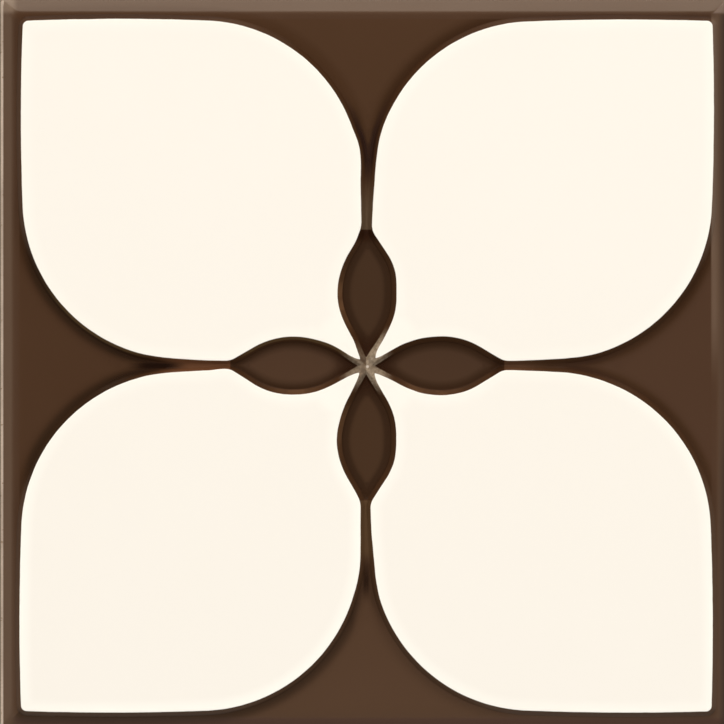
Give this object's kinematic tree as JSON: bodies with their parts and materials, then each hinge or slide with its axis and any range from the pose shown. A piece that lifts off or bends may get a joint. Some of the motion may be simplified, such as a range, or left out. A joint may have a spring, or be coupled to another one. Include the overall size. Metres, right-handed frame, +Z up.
{
  "type": "floor tile",
  "caption": "Square glazed ceramic floor tile with raised cream leaves on a sunken brown ground, lens petals round the middle, a bevelled edge and a ribbed back for adhesive.",
  "frame": {"origin": "middle of the back, on the plane of the ribs that meets the bed", "axes": "+Z up out of the glazed face, X and Y along the tile's edges"},
  "size_m": [0.15, 0.15, 0.009],
  "materials": {
    "glaze": "gloss"
  },
  "bodies": {
    "root": {"tile": "glaze"}
  },
  "joints": []
}
